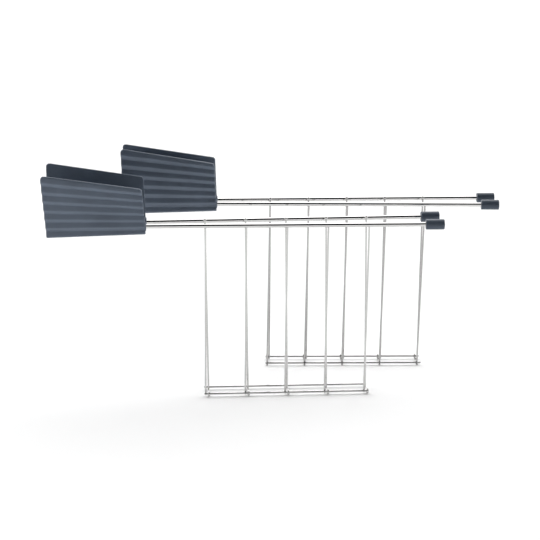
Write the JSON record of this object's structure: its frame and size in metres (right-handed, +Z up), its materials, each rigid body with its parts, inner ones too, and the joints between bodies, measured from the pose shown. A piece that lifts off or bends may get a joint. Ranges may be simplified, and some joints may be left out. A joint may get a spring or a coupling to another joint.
{
  "type": "toaster sandwich rack",
  "caption": "Set of long-handled wire racks that hold a sandwich in a toaster slot, with hinged cages, ribbed grip plates that turn on the rails and round end caps.",
  "frame": {"origin": "middle of the footprint of the set, on the table that the floor wires stand on", "axes": "+X along the rails from the grips towards the end caps, +Y from the front rack to the rear rack, +Z up"},
  "size_m": [0.3564, 0.1086, 0.1836],
  "materials": {
    "rail_steel": "polished stainless steel",
    "wire_steel": "polished stainless steel wire",
    "handle_plastic": "satin moulded slate grey plastic",
    "cap_plastic": "satin moulded slate grey plastic"
  },
  "bodies": {
    "front_base": {"front_fixed_rail": "rail_steel", "front_fixed_base_wire": "wire_steel", "front_fixed_cap": "cap_plastic", "front_fixed_upright_1": "wire_steel", "front_fixed_upright_2": "wire_steel", "front_fixed_upright_3": "wire_steel", "front_fixed_upright_4": "wire_steel", "front_fixed_upright_5": "wire_steel", "front_floor_wire_1": "wire_steel", "front_floor_wire_2": "wire_steel", "front_floor_wire_3": "wire_steel", "front_floor_wire_4": "wire_steel", "front_floor_wire_5": "wire_steel"},
    "front_swing_frame": {"front_swing_rail": "rail_steel", "front_swing_base_wire": "wire_steel", "front_swing_cap": "cap_plastic", "front_swing_upright_1": "wire_steel", "front_swing_upright_2": "wire_steel", "front_swing_upright_3": "wire_steel", "front_swing_upright_4": "wire_steel", "front_swing_upright_5": "wire_steel"},
    "front_fixed_grip": {"front_fixed_handle": "handle_plastic"},
    "front_swing_grip": {"front_swing_handle": "handle_plastic"},
    "rear_base": {"rear_fixed_rail": "rail_steel", "rear_fixed_base_wire": "wire_steel", "rear_fixed_cap": "cap_plastic", "rear_fixed_upright_1": "wire_steel", "rear_fixed_upright_2": "wire_steel", "rear_fixed_upright_3": "wire_steel", "rear_fixed_upright_4": "wire_steel", "rear_fixed_upright_5": "wire_steel", "rear_floor_wire_1": "wire_steel", "rear_floor_wire_2": "wire_steel", "rear_floor_wire_3": "wire_steel", "rear_floor_wire_4": "wire_steel", "rear_floor_wire_5": "wire_steel"},
    "rear_swing_frame": {"rear_swing_rail": "rail_steel", "rear_swing_base_wire": "wire_steel", "rear_swing_cap": "cap_plastic", "rear_swing_upright_1": "wire_steel", "rear_swing_upright_2": "wire_steel", "rear_swing_upright_3": "wire_steel", "rear_swing_upright_4": "wire_steel", "rear_swing_upright_5": "wire_steel"},
    "rear_fixed_grip": {"rear_fixed_handle": "handle_plastic"},
    "rear_swing_grip": {"rear_swing_handle": "handle_plastic"}
  },
  "joints": [
    {"name": "front_cage_hinge", "type": "hinge", "parent": "front_base", "child": "front_swing_frame", "pos_m": [0.00223, -0.03724, 0.00225], "axis": [1, 0, 0], "range_deg": [0, 40]},
    {"name": "front_fixed_grip_swivel", "type": "hinge", "parent": "front_base", "child": "front_fixed_grip", "pos_m": [0.00223, -0.01999, 0.137], "axis": [-0.9997, -0.025, 0], "range_deg": [-25, 10]},
    {"name": "front_swing_grip_swivel", "type": "hinge", "parent": "front_swing_frame", "child": "front_swing_grip", "pos_m": [0.00223, -0.03899, 0.137], "axis": [0.9997, -0.025, 0], "range_deg": [-26, 9]},
    {"name": "rear_lift", "type": "slide", "parent": "front_base", "child": "rear_base", "axis": [0, 0, 1], "range_m": [0, 0.2]},
    {"name": "rear_cage_hinge", "type": "hinge", "parent": "rear_base", "child": "rear_swing_frame", "pos_m": [0.05756, 0.04426, 0.00225], "axis": [-0.999, 0.0436, 0], "range_deg": [0, 40]},
    {"name": "rear_fixed_grip_swivel", "type": "hinge", "parent": "rear_base", "child": "rear_fixed_grip", "pos_m": [0.05681, 0.02702, 0.137], "axis": [0.9976, -0.0686, 0], "range_deg": [-13, 22]},
    {"name": "rear_swing_grip_swivel", "type": "hinge", "parent": "rear_swing_frame", "child": "rear_swing_grip", "pos_m": [0.05764, 0.046, 0.137], "axis": [-0.9998, 0.0186, 0], "range_deg": [-1, 34]}
  ]
}
